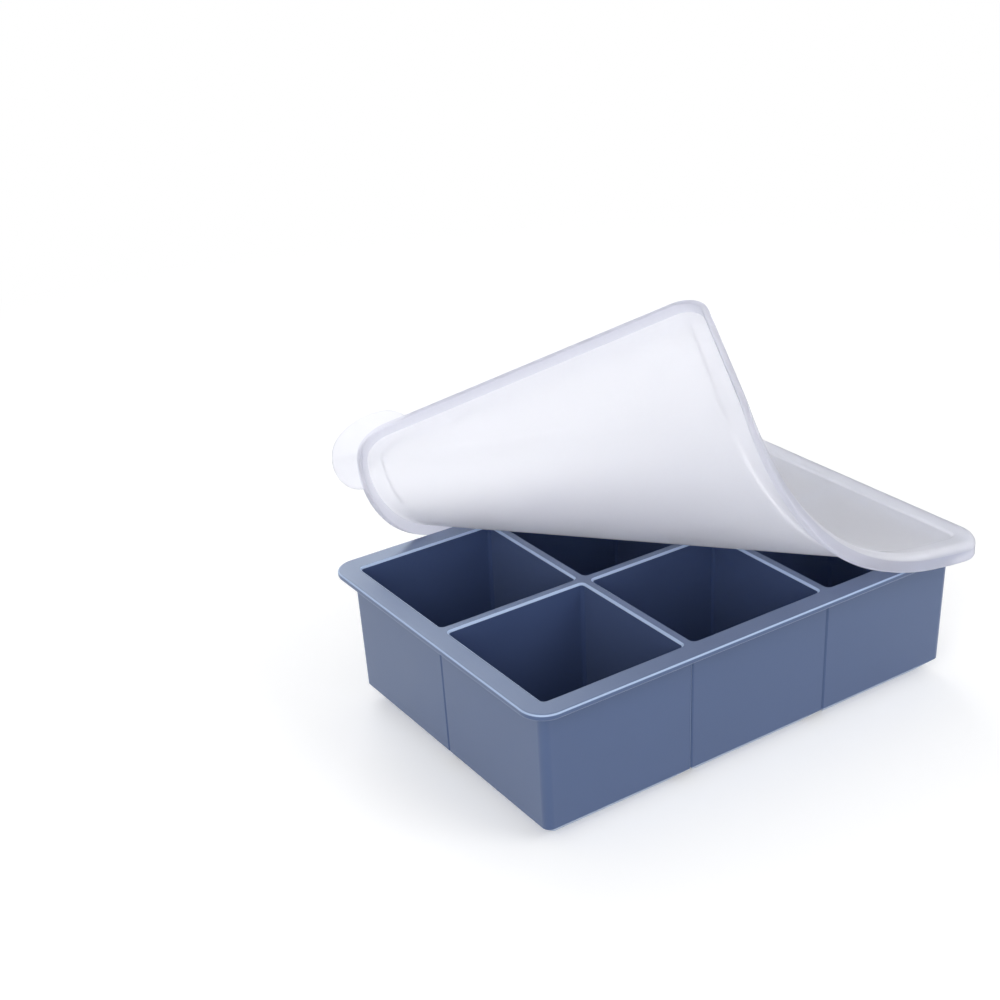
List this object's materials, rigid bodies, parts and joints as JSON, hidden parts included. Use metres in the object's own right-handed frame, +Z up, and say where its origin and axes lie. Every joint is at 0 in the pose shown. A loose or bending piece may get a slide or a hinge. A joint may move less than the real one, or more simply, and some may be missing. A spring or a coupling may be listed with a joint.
{
  "type": "lidded silicone food freezer tray",
  "caption": "Soft freezer tray of square cups with a flat rim and a frosted stretch lid that peels back from a round corner tab.",
  "frame": {"origin": "middle of the tray's underside, on the plane that its six feet rest on, between the feet", "axes": "+X along the tray's long side, away from the tab's corner; +Y across the tray, towards the tab's corner; +Z up out of the cups"},
  "size_m": [0.1683, 0.1483, 0.1171],
  "materials": {
    "tray_silicone": "satin blue-grey silicone",
    "lid_silicone": "frosted translucent white silicone"
  },
  "bodies": {
    "tray": {"tray": "tray_silicone"},
    "lid_seat": {"lid_seat": "lid_silicone"},
    "lid_fold_1": {"lid_fold_1": "lid_silicone"},
    "lid_fold_2": {"lid_fold_2": "lid_silicone"},
    "lid_fold_3": {"lid_fold_3": "lid_silicone"},
    "lid_fold_4": {"lid_fold_4": "lid_silicone"},
    "lid_fold_5": {"lid_fold_5": "lid_silicone"},
    "lid_fold_6": {"lid_fold_6": "lid_silicone"},
    "lid_fold_7": {"lid_fold_7": "lid_silicone"},
    "lid_fold_8": {"lid_fold_8": "lid_silicone"},
    "lid_fold_9": {"lid_fold_9": "lid_silicone"},
    "lid_fold_10": {"lid_fold_10": "lid_silicone"},
    "lid_fold_11": {"lid_fold_11": "lid_silicone"},
    "lid_flap": {"lid_flap": "lid_silicone"}
  },
  "joints": [
    {"name": "lid_lift", "type": "slide", "parent": "tray", "child": "lid_seat", "axis": [0, 0, 1], "range_m": [0, 0.15]},
    {"name": "lid_bend_1", "type": "hinge", "parent": "lid_seat", "child": "lid_fold_1", "pos_m": [0.03405, -0.014, 0.0486], "axis": [-0.6798, 0.7334, 0], "range_deg": [-13.15, 0]},
    {"name": "lid_bend_2", "type": "hinge", "parent": "lid_fold_1", "child": "lid_fold_2", "pos_m": [0.02345, -0.02315, 0.05187], "axis": [-0.6293, 0.777, -0.0156], "range_deg": [-13.15, 0]},
    {"name": "lid_bend_3", "type": "hinge", "parent": "lid_fold_2", "child": "lid_fold_3", "pos_m": [0.01637, -0.0285, 0.05624], "axis": [-0.5955, 0.8025, -0.0365], "range_deg": [-13.15, 0]},
    {"name": "lid_bend_4", "type": "hinge", "parent": "lid_fold_3", "child": "lid_fold_4", "pos_m": [0.01117, -0.03193, 0.06133], "axis": [-0.5707, 0.8189, -0.0608], "range_deg": [-13.15, 0]},
    {"name": "lid_bend_5", "type": "hinge", "parent": "lid_fold_4", "child": "lid_fold_5", "pos_m": [0.00743, -0.03399, 0.06683], "axis": [-0.5529, 0.8287, -0.087], "range_deg": [-13.15, 0]},
    {"name": "lid_bend_6", "type": "hinge", "parent": "lid_fold_5", "child": "lid_fold_6", "pos_m": [0.00497, -0.03494, 0.07246], "axis": [-0.5411, 0.8332, -0.1138], "range_deg": [-13.15, 0]},
    {"name": "lid_bend_7", "type": "hinge", "parent": "lid_fold_6", "child": "lid_fold_7", "pos_m": [0.00364, -0.03495, 0.07797], "axis": [-0.5347, 0.8333, -0.1401], "range_deg": [-13.15, 0]},
    {"name": "lid_bend_8", "type": "hinge", "parent": "lid_fold_7", "child": "lid_fold_8", "pos_m": [0.00333, -0.0342, 0.08316], "axis": [-0.5333, 0.8297, -0.1649], "range_deg": [-13.15, 0]},
    {"name": "lid_bend_9", "type": "hinge", "parent": "lid_fold_8", "child": "lid_fold_9", "pos_m": [0.00394, -0.03281, 0.08783], "axis": [-0.5362, 0.8231, -0.1872], "range_deg": [-13.15, 0]},
    {"name": "lid_bend_10", "type": "hinge", "parent": "lid_fold_9", "child": "lid_fold_10", "pos_m": [0.00532, -0.03094, 0.09184], "axis": [-0.5428, 0.8142, -0.2063], "range_deg": [-13.15, 0]},
    {"name": "lid_bend_11", "type": "hinge", "parent": "lid_fold_10", "child": "lid_fold_11", "pos_m": [0.00733, -0.02873, 0.09505], "axis": [-0.5524, 0.8036, -0.2217], "range_deg": [-13.15, 0]},
    {"name": "lid_bend_12", "type": "hinge", "parent": "lid_fold_11", "child": "lid_flap", "pos_m": [0.00981, -0.02632, 0.09741], "axis": [-0.5642, 0.7921, -0.2329], "range_deg": [-13.15, 0]}
  ],
  "couplings": [
    {"joint": "lid_bend_1", "follows": "lid_bend_12", "ratio": 1},
    {"joint": "lid_bend_2", "follows": "lid_bend_12", "ratio": 1},
    {"joint": "lid_bend_3", "follows": "lid_bend_12", "ratio": 1},
    {"joint": "lid_bend_4", "follows": "lid_bend_12", "ratio": 1},
    {"joint": "lid_bend_5", "follows": "lid_bend_12", "ratio": 1},
    {"joint": "lid_bend_6", "follows": "lid_bend_12", "ratio": 1},
    {"joint": "lid_bend_7", "follows": "lid_bend_12", "ratio": 1},
    {"joint": "lid_bend_8", "follows": "lid_bend_12", "ratio": 1},
    {"joint": "lid_bend_9", "follows": "lid_bend_12", "ratio": 1},
    {"joint": "lid_bend_10", "follows": "lid_bend_12", "ratio": 1},
    {"joint": "lid_bend_11", "follows": "lid_bend_12", "ratio": 1}
  ]
}
